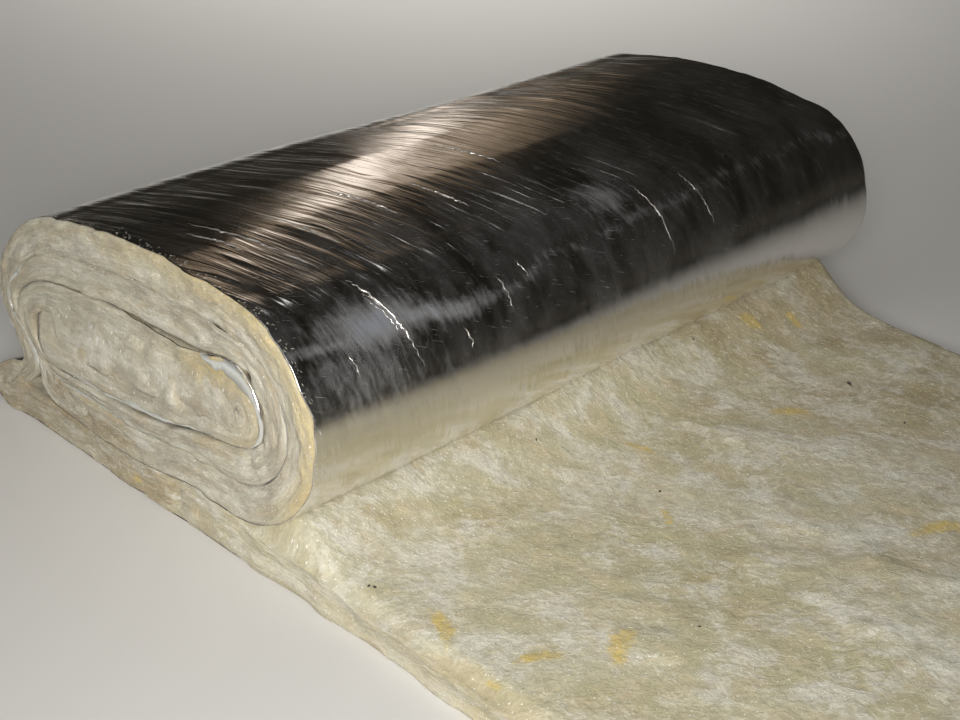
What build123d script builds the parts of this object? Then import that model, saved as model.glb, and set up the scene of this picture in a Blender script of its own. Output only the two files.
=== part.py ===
from build123d import *
from math import asin, atan2, degrees, sqrt
import os

# A foil-faced wool blanket on its flattened roll, partly unrolled on the floor.
# The free run lies wool up and facing down. It passes under the roll, makes a
# slack fold behind its foot, climbs the back, and winds inwards over the top.
# X runs along the blanket from the roll to its free end, Y along the roll, Z up.

# The stock, as it is sold
blanket_length = 6250.0
blanket_width = 1200.0
wool_thickness = 50.0
facing_thickness = 0.4

# The roll as it has settled
turns = 3
turn_gap = 1.0
roll_flat = 338.0
crown_radius = 1300.0
crown_step = 450.0
heel_angle = 20.0
heel_bend = 3.0
heel_step = 24.0
core_clearance = 6.0

# The slack fold behind the roll's foot
fold_flat = 8.0
fold_bend = 1.5
crease_bend = 3.0

# The middle of the wool is the line that everything follows
half_wool = wool_thickness / 2
pitch = wool_thickness + facing_thickness + turn_gap
run_height = facing_thickness + half_wool

# Each turn has one arc at its back, one at its front and one over its top.
# Both ends' arcs share a centre from turn to turn, so the turns stay parallel.
back_radius = turns * pitch
front_radius = back_radius - pitch / 2
back_centre = Vector(0, run_height + back_radius)
front_centre = Vector(roll_flat, run_height + pitch + front_radius)


def point_at(centre, radius, angle):
    """The point of a circle whose outward normal stands at this angle."""
    return centre + Vector(radius, 0).rotate(Axis.Z, angle)


def crown_centre(radius, back, front):
    """Centre of the arc of this radius that rests on a back and a front arc."""
    between = front_centre - back_centre
    to_back = radius - back
    to_front = radius - front
    along = (to_back**2 - to_front**2 + between.length**2) / (2 * between.length)
    down = between.normalized().rotate(Axis.Z, -90)
    return back_centre + between.normalized() * along + down * sqrt(to_back**2 - along**2)


def angle_from(centre, target):
    return degrees(atan2(target.Y - centre.Y, target.X - centre.X))


def heel_arc(turn, back):
    """The tight arc between a turn's back and its flat underside."""
    radius = half_wool + heel_bend + (turns - 1 - turn) * heel_step
    down = Vector(0, -1).rotate(Axis.Z, heel_angle)
    top = point_at(back_centre, back - radius, 180 + heel_angle)
    floor = run_height + turn * pitch
    reach = (top.Y - radius - floor) / -down.Y
    return (top + down * reach, radius, 180 + heel_angle, 90 - heel_angle)


# Arcs of the middle line, from the blanket's inner end to its run: centre,
# radius, the normal's first angle and how far it turns. Flats join their ends.
arcs = []
for turn in reversed(range(turns)):
    back = back_radius - turn * pitch
    front = front_radius - turn * pitch
    crown = crown_radius + turn * crown_step
    over = crown_centre(crown, back, front)
    front_joint = angle_from(over, front_centre)
    back_joint = angle_from(over, back_centre)
    if turn == turns - 1:
        # The inner end lies along the underside of the last crown
        reach = degrees((roll_flat - core_clearance) / crown)
        arcs.append((over, crown - pitch, front_joint + reach, -reach))
        fold_at = point_at(over, crown - pitch / 2, front_joint)
        arcs.append((fold_at, pitch / 2, front_joint - 180, 180))
    else:
        arcs.append((front_centre, front, -90, 90 + front_joint))
    arcs.append((over, crown, front_joint, back_joint - front_joint))
    if turn > 0:
        arcs.append((back_centre, back, back_joint, 180 + heel_angle - back_joint))
        arcs.append(heel_arc(turn, back))

# The outermost turn ends in the crease above the slack fold
crease_radius = half_wool + facing_thickness + crease_bend
fold_radius = half_wool + fold_bend
crease_height = run_height + 2 * fold_radius + crease_radius
crease_reach = back_radius + crease_radius
crease_joint = 180 + degrees(asin((back_centre.Y - crease_height) / crease_reach))
crease_centre = point_at(back_centre, crease_reach, crease_joint)
fold_centre = Vector(crease_centre.X - fold_flat, run_height + fold_radius)
arcs.append((back_centre, back_radius, back_joint, crease_joint - back_joint))
arcs.append((crease_centre, crease_radius, crease_joint - 180, -90 - (crease_joint - 180)))
arcs.append((fold_centre, fold_radius, 90, 180))


def strip_side(shift, end):
    """One face of a layer, this far outside the middle of the wool."""
    first = None
    last = None
    for centre, radius, start, sweep in arcs:
        outward = shift if sweep > 0 else -shift
        arc = CenterArc(centre, radius + outward, start, sweep)
        if last is None:
            first = arc @ 0
        elif (arc @ 0 - last).length > 0.001:
            Line(last, arc @ 0)
        last = arc @ 1
    Line(last, (end, last.Y))
    return first, Vector(end, last.Y)


def strip_outline(inside, outside, end):
    """A layer's whole section, between two faces and its two cut ends."""
    inner = strip_side(inside, end)
    outer = strip_side(outside, end)
    Line(inner[0], outer[0])
    Line(inner[1], outer[1])


# The middle line up to the roll's front is measured, and the run is the rest
with BuildLine() as rolled:
    strip_side(0, front_centre.X)
rolled_length = sum(edge.length for edge in rolled.edges())
run_end = front_centre.X + blanket_length - rolled_length

# The frame's origin is on the floor under the middle of the whole blanket
fold_tip = fold_centre.X - fold_radius - half_wool - facing_thickness
roll_x = -(fold_tip + run_end) / 2
section = Plane(origin=(roll_x, -blanket_width / 2, 0), x_dir=(1, 0, 0), z_dir=(0, -1, 0))

with BuildPart() as wool_blanket:
    with BuildSketch(section):
        with BuildLine():
            strip_outline(-half_wool, half_wool, run_end)
        make_face()
    extrude(amount=-blanket_width)

with BuildPart() as foil_facing:
    with BuildSketch(section):
        with BuildLine():
            strip_outline(half_wool, half_wool + facing_thickness, run_end)
        make_face()
    extrude(amount=-blanket_width)

wool_blanket.part.label = "wool_blanket"
foil_facing.part.label = "foil_facing"

os.makedirs("parts", exist_ok=True)
for layer in (wool_blanket.part, foil_facing.part):
    export_step(layer, f"parts/{layer.label}.step")

print("rolled up", round(rolled_length), "run ahead of the roll", round(run_end - front_centre.X))
print("roll at x", round(roll_x, 1), "box x", round(fold_tip + roll_x, 1), round(run_end + roll_x, 1))
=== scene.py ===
"""A partly unrolled, foil-faced wool insulation blanket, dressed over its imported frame."""
import cmath
import math

import bpy
import numpy as np
from bpy.props import FloatProperty, FloatVectorProperty, IntProperty, PointerProperty
from mathutils import Matrix, Vector


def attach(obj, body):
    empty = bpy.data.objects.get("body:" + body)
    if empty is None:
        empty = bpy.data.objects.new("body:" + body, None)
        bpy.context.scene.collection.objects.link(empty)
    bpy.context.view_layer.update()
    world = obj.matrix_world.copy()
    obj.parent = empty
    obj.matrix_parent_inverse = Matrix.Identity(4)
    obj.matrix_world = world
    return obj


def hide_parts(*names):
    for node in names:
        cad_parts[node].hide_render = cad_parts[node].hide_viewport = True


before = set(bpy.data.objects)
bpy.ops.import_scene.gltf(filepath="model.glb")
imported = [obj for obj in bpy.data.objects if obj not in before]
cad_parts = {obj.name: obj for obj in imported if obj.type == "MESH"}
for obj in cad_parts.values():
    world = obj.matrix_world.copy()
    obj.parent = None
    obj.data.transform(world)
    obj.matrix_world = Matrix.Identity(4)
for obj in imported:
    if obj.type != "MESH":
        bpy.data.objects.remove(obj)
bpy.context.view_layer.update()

bl_info = {
    "name": "Insulation roll",
    "version": (1, 0, 0),
    "blender": (4, 5, 0),
    "location": "3D View > Sidebar > Insulation",
    "description": "Builds a partly unrolled, foil-faced wool insulation blanket",
    "category": "Add Mesh",
}


def colour(name, description, red, green, blue):
    """A colour setting, given in the 0 to 255 sRGB values that a picture shows."""
    linear = [((c / 255 + 0.055) / 1.055) ** 2.4 for c in (red, green, blue)]
    return FloatVectorProperty(
        name=name, description=description, subtype="COLOR", size=3, min=0, max=1, default=linear
    )


def length(name, description, default):
    return FloatProperty(name=name, description=description, default=default, unit="LENGTH")


def power(name, description, default):
    return FloatProperty(name=name, description=description, default=default, unit="POWER")


class InsulationStock(bpy.types.PropertyGroup):
    """Sizes of the blanket and of the roll that it lies in."""

    blanket_length: length("Blanket length", "Cut length of the blanket", 6.25)
    blanket_width: length("Blanket width", "Width of the blanket", 1.2)
    wool: length("Wool thickness", "Thickness of the wool", 0.05)
    facing: length("Facing thickness", "Thickness of the foil facing", 0.0004)
    turn_gap: length("Turn gap", "Gap between one turn and the next", 0.001)
    turns: IntProperty(name="Turns", description="Turns in the roll", default=3, min=1)
    roll_flat: length("Roll flat", "Length of the roll's flat underside", 0.338)
    crown: length("Crown radius", "Radius of the outermost turn's top", 1.3)
    crown_step: length("Crown step", "Growth of that radius from turn to turn", 0.45)
    heel_angle: FloatProperty(
        name="Heel angle", description="Lean of the roll's back above its heel",
        default=math.radians(20), subtype="ANGLE",
    )
    heel_bend: length("Heel bend", "Inside radius of the tightest heel", 0.003)
    heel_step: length("Heel step", "Growth of that radius from turn to turn", 0.024)
    core: length("Core clearance", "Room ahead of the inner end", 0.006)
    fold_flat: length("Fold flat", "Flat stretch of the slack fold's top", 0.008)
    fold_bend: length("Fold bend", "Inside radius of the slack fold", 0.0015)
    crease_bend: length("Crease bend", "Outside radius of the crease above the fold", 0.003)


class InsulationLooks(bpy.types.PropertyGroup):
    """Colours of the wool and of the foil."""

    wool_pale: colour("Pale wool", "Clean, open wool", 210, 204, 180)
    wool_grey: colour("Grey wool", "Wool in the hollows of the cut ends", 178, 167, 148)
    wool_olive: colour("Olive wool", "Wool in the hollows of the open run", 186, 177, 139)
    wool_brown: colour("Brown wool", "Soiled patches", 162, 141, 100)
    wool_blush: colour("Blushed wool", "Pinkish patches", 204, 188, 154)
    wool_yellow: colour("Yellow wool", "Patches with much binder", 206, 180, 98)
    wool_rim: colour("Rim of the wool", "Wool next to the foil, at the roll's end", 202, 182, 130)
    fibre: colour("Loose fibre", "Loose glassy strands", 222, 218, 204)
    # A painted highlight, for glints on the wool
    painted_glint: colour("Glint", "Strands that catch the light", 245, 243, 234)
    foil: colour("Foil", "Aluminium foil", 236, 233, 228)
    foil_edge: colour("Curled foil edge", "Foil that curls over the cut wool", 228, 229, 222)
    crease: colour("Creased foil", "Sharp folds in the foil", 222, 216, 208)
    chip: colour("Dark chip", "Bits of dirt on the wool", 62, 56, 50)
    # The dulled foil's bluish tint is a painted reflection
    scuff_and_blue_sheen: colour("Scuffed foil", "Dulled, bluish foil along the roll's shoulder", 142, 150, 166)


class InsulationStage(bpy.types.PropertyGroup):
    """The floor, the lamps and the camera."""

    floor: colour("Floor", "Plain pale floor", 214, 211, 205)
    key_power: power("Key", "Power of the lamp beside the camera", 18.5)
    fill_power: power("Fill", "Power of the wide lamp overhead", 34.0)
    back_power: power("Back", "Power of the lamp over the floor behind", 36.0)
    soft_power: power("Soft box", "Power of the soft box that the foil mirrors", 2.4)
    lens: FloatProperty(
        name="Lens", description="Focal length, on a sensor 36 mm wide",
        default=60.38, unit="CAMERA",
    )


# The line that the blanket follows

# Degrees and metres from one station on its arcs to the next, at most
STATION_TURN = 3
STATION_STEP = 0.002


def on_circle(centre, radius, angle):
    return centre + radius * cmath.exp(1j * math.radians(angle))


def angle_to(centre, target):
    return math.degrees(cmath.phase(target - centre))


class Winding:
    """The middle line of the wool in the roll's own section, from its inner end to
    the end of the run, as dense stations: how far along, where, and which way the
    foil is. A section point is a complex number, X along and Z up."""

    def __init__(self, stock):
        self.stock = stock
        self.half = stock.wool / 2
        self.skin = self.half + stock.facing
        self.pitch = stock.wool + stock.facing + stock.turn_gap
        self.run_height = stock.facing + self.half
        self.back_radius = stock.turns * self.pitch
        self.front_radius = self.back_radius - self.pitch / 2
        self.back_centre = complex(0, self.run_height + self.back_radius)
        self.front_centre = complex(
            stock.roll_flat, self.run_height + self.pitch + self.front_radius
        )
        self.lay_arcs()
        self.lay_stations()

    def crown_centre(self, radius, back, front):
        """The centre of a crown of this radius that joins a turn's round back and its
        round front, which have these radii."""
        between = self.front_centre - self.back_centre
        span = abs(between)
        along = ((radius - back) ** 2 - (radius - front) ** 2 + span**2) / (2 * span)
        down = math.sqrt((radius - back) ** 2 - along**2)
        return self.back_centre + between / span * complex(along, -down)

    def heel_arc(self, turn, back):
        """A turn's heel: the tight arc between its leaning back and flat underside."""
        stock = self.stock
        radius = self.half + stock.heel_bend + (stock.turns - 1 - turn) * stock.heel_step
        lean = math.degrees(stock.heel_angle)
        down = cmath.exp(1j * math.radians(lean - 90))
        top = on_circle(self.back_centre, back - radius, 180 + lean)
        floor = self.run_height + turn * self.pitch
        reach = (top.imag - radius - floor) / -down.imag
        return top + down * reach, radius, 180 + lean, 90 - lean

    def lay_arcs(self):
        """The line's arcs, from the inner end to the run, each as its centre, its
        radius, and in degrees where it starts and how far it sweeps. Flats join those
        that don't meet. The foil is outside an arc that sweeps anticlockwise, and
        inside one that sweeps clockwise."""
        stock = self.stock
        arcs = self.arcs = []
        for turn in reversed(range(stock.turns)):
            back = self.back_radius - turn * self.pitch
            front = self.front_radius - turn * self.pitch
            crown = stock.crown + turn * stock.crown_step
            over = self.crown_centre(crown, back, front)
            front_joint = angle_to(over, self.front_centre)
            back_joint = angle_to(over, self.back_centre)
            if turn == stock.turns - 1:
                # The inner end lies under the innermost crown and turns back into it
                reach = math.degrees((stock.roll_flat - stock.core) / crown)
                arcs.append((over, crown - self.pitch, front_joint + reach, -reach))
                tip = on_circle(over, crown - self.pitch / 2, front_joint)
                arcs.append((tip, self.pitch / 2, front_joint - 180, 180))
            else:
                arcs.append((self.front_centre, front, -90, 90 + front_joint))
            if turn == 0:
                self.outermost = len(arcs) - 1
            arcs.append((over, crown, front_joint, back_joint - front_joint))
            if turn > 0:
                heel = 180 + math.degrees(stock.heel_angle)
                arcs.append((self.back_centre, back, back_joint, heel - back_joint))
                arcs.append(self.heel_arc(turn, back))
        # The roll's back ends in a crease, and under it lies the slack fold
        crease = self.skin + stock.crease_bend
        fold = self.half + stock.fold_bend
        height = self.run_height + 2 * fold + crease
        reach = self.back_radius + crease
        joint = 180 + math.degrees(math.asin((self.back_centre.imag - height) / reach))
        crease_centre = on_circle(self.back_centre, reach, joint)
        fold_centre = complex(crease_centre.real - stock.fold_flat, self.run_height + fold)
        arcs.append((self.back_centre, self.back_radius, back_joint, joint - back_joint))
        arcs.append((crease_centre, crease, joint - 180, 90 - joint))
        arcs.append((fold_centre, fold, 90, 180))
        self.fold_tip = fold_centre.real - fold - self.skin

    def lay_stations(self):
        """Stations along the arcs and the run, with the way the foil faces at each."""
        places, ways, starts = [], [], []
        for centre, radius, start, sweep in self.arcs:
            length_of_arc = radius * math.radians(abs(sweep))
            count = max(
                4, math.ceil(abs(sweep) / STATION_TURN), math.ceil(length_of_arc / STATION_STEP)
            )
            starts.append(len(places))
            for angle in np.linspace(start, start + sweep, count + 1):
                places.append(on_circle(centre, radius, angle))
                ways.append(math.copysign(1, sweep) * cmath.exp(1j * math.radians(angle)))
        places, ways = np.array(places), np.array(ways)
        rolled = np.concatenate([[0], np.cumsum(abs(np.diff(places)))])
        left = self.stock.blanket_length - rolled[-1]
        self.run_end = places[-1].real + left
        places = np.append(places, complex(self.run_end, self.run_height))
        ways = np.append(ways, -1j)
        s = np.append(rolled, self.stock.blanket_length)
        self.skin_from = s[starts[self.outermost]]
        keep = np.concatenate([[True], np.diff(s) > 1e-7])
        self.s, self.places, self.ways = s[keep], places[keep], ways[keep]
        self.offset = -(self.fold_tip + self.run_end) / 2
        self.run_from = rolled[-1]

    def at(self, s):
        """The middle of the wool and the foil's side of it, this far along."""
        place = np.interp(s, self.s, self.places.real) + 1j * np.interp(s, self.s, self.places.imag)
        way = np.interp(s, self.s, self.ways.real) + 1j * np.interp(s, self.s, self.ways.imag)
        return place, way / abs(way)

    def run_s(self, x):
        """How far along the blanket a place on the run is, by its section X."""
        return self.stock.blanket_length - (self.run_end - x)


# Noise and shapes


def ease(low, high, value):
    """0 up to low, 1 from high on, and a smooth rise between them."""
    t = np.clip((value - low) / (high - low), 0, 1)
    return t * t * (3 - 2 * t)


def bump(centre, reach, value):
    """A bell curve: 1 at its centre and nearly gone two reaches away."""
    return np.exp(-(((value - centre) / reach) ** 2))


# How many random values the noise draws on, and what keeps its cells' numbers above 0
NOISE_VALUES = 8192
NOISE_SHIFT = 400.5
NOISE_PRIMES = (73856093, 19349663, 83492791)


def rough(seed, size, *axes):
    """Smooth value noise from -1 to 1 on two or three axes, one cell per size."""
    sizes = size if isinstance(size, tuple) else (size,) * len(axes)
    values = np.random.RandomState(seed).uniform(-1, 1, NOISE_VALUES)
    cells, shares = [], []
    for axis, step in zip(axes, sizes):
        scaled = np.asarray(axis, float) / step + NOISE_SHIFT
        cell = np.floor(scaled).astype(np.int64)
        share = scaled - cell
        cells.append(cell)
        shares.append(share**3 * (share * (share * 6 - 15) + 10))
    total = 0
    for corner in range(2 ** len(axes)):
        weight, key = 1, 0
        for cell, share, prime, place in zip(cells, shares, NOISE_PRIMES, range(len(axes))):
            high = corner >> place & 1
            weight = weight * (share if high else 1 - share)
            key = key ^ ((cell + high) * prime)
        total = total + weight * values[key % NOISE_VALUES]
    return total


# The wool's open face swells to meet what lies on it: at most this far, across a gap of
# at most this much, and it keeps this clear of it
MOST_SWELL = 0.03
MOST_GAP = 0.06
SWELL_CLEAR = 0.0008

# The swell is worked out at this many even places along the blanket. What lies on the
# wool may touch it, or reach this far into it
SWELL_PLACES = 3200
TOUCHING = 0.002


def cross(first, second):
    """The cross product of two ways on the section."""
    return first.real * second.imag - first.imag * second.real


def puff(line):
    """Even places along the blanket, how far the wool's open face swells at each, and
    the room that it has there."""
    foil = line.places + line.ways * line.skin
    open_face = line.places - line.ways * line.half
    steps = foil[1:] - foil[:-1]
    # A ray from each place on the open face, met with every step of the foil's line
    far = np.zeros(len(line.s))
    for i, (start, way) in enumerate(zip(open_face, -line.ways)):
        gap = foil[:-1] - start
        slant = cross(way, steps)
        slant = np.where(abs(slant) < 1e-12, 1e-12, slant)
        reach = cross(gap, steps) / slant
        share = cross(gap, way) / slant
        hit = (reach > -TOUCHING) & (share >= 0) & (share <= 1)
        far[i] = reach[hit].min() if hit.any() else 1
    even = np.linspace(0, line.s[-1], SWELL_PLACES)
    room = np.interp(even, line.s, np.maximum(far - SWELL_CLEAR, 0))
    far = np.where(far > MOST_GAP, 0, np.clip(far - SWELL_CLEAR, 0, MOST_SWELL))
    swell = np.interp(even, line.s, far)
    # The least of the nine places around each, smoothed over seven, so never more than
    # its own swell
    low = np.array([swell[max(0, i - 4) : i + 5].min() for i in range(len(swell))])
    return even, np.convolve(low, np.ones(7) / 7, "same"), room


# How the slack roll has sunk under its own weight, by X on its own section: how far its
# top has dropped, how far the outer turns' back is squeezed in low down, and how far the
# inner end has sunk into the turn below it
TOP_DROP = (
    (-0.2, 0.018), (-0.126, 0.017), (-0.078, 0.016), (-0.018, 0.015), (0.042, 0.010),
    (0.102, 0.005), (0.162, 0.003), (0.222, 0), (0.342, 0), (0.402, -0.003), (0.5, -0.003),
)
BACK_SQUEEZE = (
    (-0.16, 0), (-0.13, 0.02), (-0.105, 0.046), (-0.054, 0.075), (0, 0.07), (0.1, 0.03), (0.2, 0),
)
CORE_SINK = (
    (-0.1, 0), (-0.06, 0.02), (0, 0.045), (0.1, 0.041), (0.2, 0.030), (0.28, 0.014), (0.35, 0),
)


def by_x(table, x):
    """The value of such a table at these X."""
    return np.interp(x, *np.transpose(table))


def settle(line, place, y, s):
    """Where the points of the taut section lie in the slack one."""
    x, z = place.real.copy(), place.imag.copy()
    down = -by_x(TOP_DROP, x) * ease(0.15, 0.33, z)
    # The wool under the roll's front holds it up a little, more towards the far end
    front = ease(0.14, 0.26, x) * (1 - ease(0.42, 0.6, x))
    hold = (0.011 + 0.010 * ease(-0.6, 0.1, y)) * front
    down += hold * np.minimum(z / 0.051, 1) * (1 - ease(0.1, 0.26, z))
    # The slack fold lies flatter than its arcs, and the heel bulges over it
    tip = 1 - ease(-0.2, -0.09, x)
    down -= 0.22 * z * tip * (1 - ease(0.085, 0.15, z))
    side = 0.036 * bump(0.112, 0.045, z) * (1 - ease(-0.17, 0.06, x))
    side += 0.011 * tip * (1 - ease(0.06, 0.12, z))
    # Low at the back the outer two turns are squeezed thin by the inner one
    side -= by_x(BACK_SQUEEZE, x) * bump(0.185, 0.06, z)
    # The inner end has sunk into the turn below it, and its front bulges
    down -= by_x(CORE_SINK, x) * bump(0.158, 0.045, z)
    down += 0.022 * bump(0.35, 0.06, x) * bump(0.255, 0.035, z)
    side += 0.016 * bump(0.385, 0.05, x) * bump(0.21, 0.05, z)
    # Small waves, weaker in the outermost turn
    loose = 1 - 0.75 * ease(line.skin_from - 0.3, line.skin_from, s)
    inside = ease(0.06, 0.12, z) * (1 - ease(0.5, 0.6, x))
    lift = ease(0.02, 0.2, z)
    side += inside * loose * 0.0035 * rough(11, (0.09, 0.4, 0.09), x, y, z)
    side += lift * 0.006 * rough(12, (0.5, 0.4), y, z)
    down += inside * loose * 0.0035 * rough(13, (0.09, 0.35, 0.09), x, y, z)
    down += lift * 0.006 * rough(14, (0.45, 0.3), y, x)
    return x + side, np.maximum(z + down, 0)


def run_edge(x, y):
    """How far the run's torn long edges stray from straight, outwards."""
    near = 0.012 * rough(21, 0.22, x, 0 * x) + 0.003 * rough(22, 0.06, x, 0 * x)
    far = 0.01 * rough(23, 0.25, x, 0 * x) + 0.004 * rough(24, 0.07, x, 0 * x) - 0.006
    return np.where(y < 0, near, far)


# Small hollows (or, where the depth is below 0, lumps) in the roll's near end: where
# along, through, how deep, how far along they reach, and how far through
PITS = (
    (1.447, -0.023, 0.016, 0.007, 0.004), (1.402, -0.023, 0.016, 0.008, 0.003),
    (1.338, -0.023, 0.018, 0.007, 0.005), (3.092, -0.023, 0.014, 0.010, 0.003),
    (1.845, 0.025, 0.010, 0.016, 0.002), (0.66, 0.025, 0.010, 0.035, 0.002),
    (2.19, -0.002, 0.012, 0.005, 0.003), (0.848, 0.010, 0.012, 0.006, 0.004),
    (4.074, -0.022, 0.012, 0.010, 0.003), (2.93, -0.024, 0.008, 0.010, 0.003),
    (0.21, -0.003, -0.006, 0.009, 0.007), (0.27, 0.012, -0.004, 0.012, 0.006),
    (0.30, -0.012, -0.004, 0.010, 0.006), (0.13, -0.018, -0.003, 0.02, 0.004),
    (1.07, 0.012, -0.003, 0.012, 0.005), (1.13, 0.018, -0.003, 0.01, 0.004),
)

# Where a slanting seam crosses the run's near edge, under the roll's front
SEAM = 4.092

# Stretches of the blanket whose cut ends have felted into the turn next to them: where
# each starts, is whole, starts to part and has parted
FELTED_OUTWARDS = (2.08, 2.14, 2.29, 2.33)
FELTED_INWARDS = (3.6, 3.7, 4.02, 4.07)

# Waves of the cut ends, coarse and fine: height, and grain along and through
END_WAVES = (
    (0.0022, 0.11, 0.03), (0.0014, 0.04, 0.01), (0.0014, 0.016, 0.006), (0.005, 0.3, 0.2),
)

# Hummocks of the run's open wool: height, and grain along and across the streaks
HUMMOCKS = ((0.005, 0.12, 0.1), (0.0022, 0.055, 0.045), (0.0016, 0.026, 0.02))

# Places on the run, by X on the roll's section: from where its mesh is fine, from where
# it comes out of the roll's foot until it's open, and the crest of the wool that the
# roll has pushed up ahead of it
FINE_FROM = 0.3
FOOT_FROM, FOOT_TO = 0.33, 0.4
PUSHED_CREST = 0.43
PUSHED_HEIGHT, PUSHED_REACH = 0.04, 0.055

# What lies on the foil stays this far above the floor
LEAST_HEIGHT = 0.0004

# How far in from a long edge its tears reach, and from where relief has its full height
TORN_REACH = 0.03
FULL_RELIEF = 0.02


def stretch(marks, s):
    """1 on a stretch of the blanket that comes and goes at these four marks."""
    start, whole, parting, end = marks
    return ease(start, whole, s) * (1 - ease(parting, end, s))


class Shape:
    """Takes a point of the flat stock (along, across, through) to its place."""

    def __init__(self, line):
        self.line = line
        self.even, self.swell, self.room = puff(line)
        self.half_width = line.stock.blanket_width / 2
        self.run_start = line.run_s(FINE_FROM)

    def inward(self, y):
        """How far in from the nearer long edge."""
        return self.half_width - abs(y)

    def near_edge(self, y):
        """1 at the long edges, and 0 beyond their tears."""
        return 1 - ease(0, TORN_REACH, self.inward(y))

    def off_edge(self, y):
        """0 at the long edges, and 1 where relief has its full height."""
        return ease(0, FULL_RELIEF, self.inward(y))

    def end_relief(self, s, h, side):
        """How far the cut face of the wool stands out at its near or far end."""
        half = self.line.half
        seed = 30 if side < 0 else 40
        # It's drawn back along both faces, less where it has felted into the next turn
        open_seam = 0.5 + 0.5 * rough(seed + 5, (0.07, 0.04), s, h)
        rounded = np.clip(abs(h) / half, 0, 1) ** 9
        felted = stretch(FELTED_OUTWARDS, s) * (h > 0) + stretch(FELTED_INWARDS, s) * (h < 0)
        relief = 0.002 - (0.001 + 0.005 * open_seam) * rounded * (1 - 0.9 * felted)
        for layer, (height, along, through) in enumerate(END_WAVES):
            relief = relief + height * rough(seed + layer, (along, through), s, h)
        # A few tufts, and on the near end the hollows and the seam
        relief += 0.006 * np.clip(rough(seed + 4, (0.03, 0.014), s, h) - 0.4, 0, 1)
        if side < 0:
            for along, through, depth, reach, across in PITS:
                relief -= depth * bump(along, reach, s) * bump(through, across, h)
            seam = SEAM + 0.25 * (h + 0.01) + 0.002 * np.sin(h * 500)
            relief -= 0.007 * bump(seam, 0.004, s) * (1 - ease(0.005, 0.02, h))
        return relief

    def top_relief(self, s, y):
        """The lie of the run's open wool: soft hummocks, drawn-out streaks, tufts."""
        # The streaks slant across the run
        along, across = s * 0.8 + y * 0.6, y * 0.8 - s * 0.6
        relief = 0.007 * rough(51, (0.28, 0.22), s, y)
        for layer, (height, long, wide) in enumerate(HUMMOCKS):
            relief += height * rough(52 + layer, (long, wide), along, across)
        relief += 0.006 * np.clip(rough(55, (0.04, 0.03), along, across) - 0.4, 0, 1)
        crest = bump(self.line.run_s(PUSHED_CREST), PUSHED_REACH, s)
        pushed = PUSHED_HEIGHT * crest * (1 + 0.15 * rough(56, 0.12, y, s))
        return np.maximum(relief - 0.003, 0.3 * relief + pushed)

    def on_open_run(self, s):
        """0 in the roll and under it, 1 on the open run."""
        return ease(self.line.run_s(FOOT_FROM), self.line.run_s(FOOT_TO), s)

    def open_lift(self, s, y):
        """How far the wool's open face stands above its flat height."""
        line = self.line
        under = 1 - ease(line.run_from, line.run_from + 0.05, s)
        ahead = self.on_open_run(s)
        lift = np.interp(s, self.even, self.swell) * under
        hummocks = ahead * self.top_relief(s, y) * self.off_edge(y)
        room = np.interp(s, self.even, self.room) + (s < line.run_from)
        torn = 0.012 * self.near_edge(y) * (1 + 0.3 * rough(61, 0.07, s, y))
        return np.minimum(lift + hummocks, room) - ahead * torn

    def torn_edge(self, s, h, side):
        """How far the wool's cut or torn long edges stand out, on the run and in the roll."""
        centre, _ = self.line.at(s)
        ahead = self.on_open_run(s)
        torn = run_edge(centre.real, side) + 0.003 * rough(62, (0.04, 0.02), s, h)
        return self.end_relief(s, h, side) * (1 - 0.5 * ahead) + ahead * torn

    def place(self, s, y, h, edge=0, slide=0):
        """Points of the wool or foil, in metres, in the object's frame. edge moves them
        along Y, and slide takes them back along the blanket."""
        line = self.line
        centre, way = line.at(s)
        x, z = settle(line, centre + way * h - 1j * way * slide, y, s)
        return np.column_stack([x + line.offset, y + edge, z])


# Strips of stock

# How far apart the loops of a strip stand: radians of a bend, and metres, at least
LOOP_TURN = 0.16
LOOP_LEAST = 0.0035

# The wool's mesh: metres between its loops in the roll, at most, and on the run, steps
# through its thickness, and columns over its open face where it shows and elsewhere
WOOL_STEP = 0.0055
RUN_STEP = 0.0085
WOOL_LAYERS = 18
WOOL_COLUMNS = 136
COARSE_COLUMNS = 9


def strip_faces(full, rows, firsts, coarse):
    """Faces between the loops of a strip. Each row is True where its loop is full, and
    otherwise has only the coarse part of it. A full loop next to a coarse one is
    joined to it by faces of many corners."""
    faces = []
    for row in range(len(rows) - 1):
        a, b = firsts[row], firsts[row + 1]
        if rows[row] and rows[row + 1]:
            for i in range(full):
                j = (i + 1) % full
                faces.append((a + i, a + j, b + j, b + i))
            continue
        for i, start in enumerate(coarse):
            j = (i + 1) % len(coarse)
            span = (coarse[j] - start) % full
            between = [(start + k) % full for k in range(span + 1)]
            low = [a + k for k in between] if rows[row] else [a + i, a + j]
            high = [b + k for k in between] if rows[row + 1] else [b + i, b + j]
            faces.append(tuple(low + high[::-1]))
    return faces


def strip_points(s, rows, loop, coarse):
    """Points of a strip, loop by loop, as (along, *the loop's own columns), and where
    each loop starts among them."""
    points, firsts, total = [], [], 0
    for place, is_full in zip(s, rows):
        part = loop if is_full else loop[coarse]
        points.append(np.column_stack([np.full(len(part), place), part]))
        firsts.append(total)
        total += len(part)
    return points, firsts


def new_piece(name, points, faces, material, **layers):
    """A smooth piece from its points and faces, with a vector at each point for each
    of the layers that its material reads."""
    mesh = bpy.data.meshes.new(name)
    mesh.from_pydata([tuple(p) for p in points], [], faces)
    for key, values in layers.items():
        layer = mesh.attributes.new(key, "FLOAT_VECTOR", "POINT")
        layer.data.foreach_set("vector", np.ascontiguousarray(values, np.float32).ravel())
    mesh.validate()
    piece = bpy.data.objects.new(name, mesh)
    bpy.context.scene.collection.objects.link(piece)
    mesh.materials.append(material)
    mesh.shade_smooth()
    return piece


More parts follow.
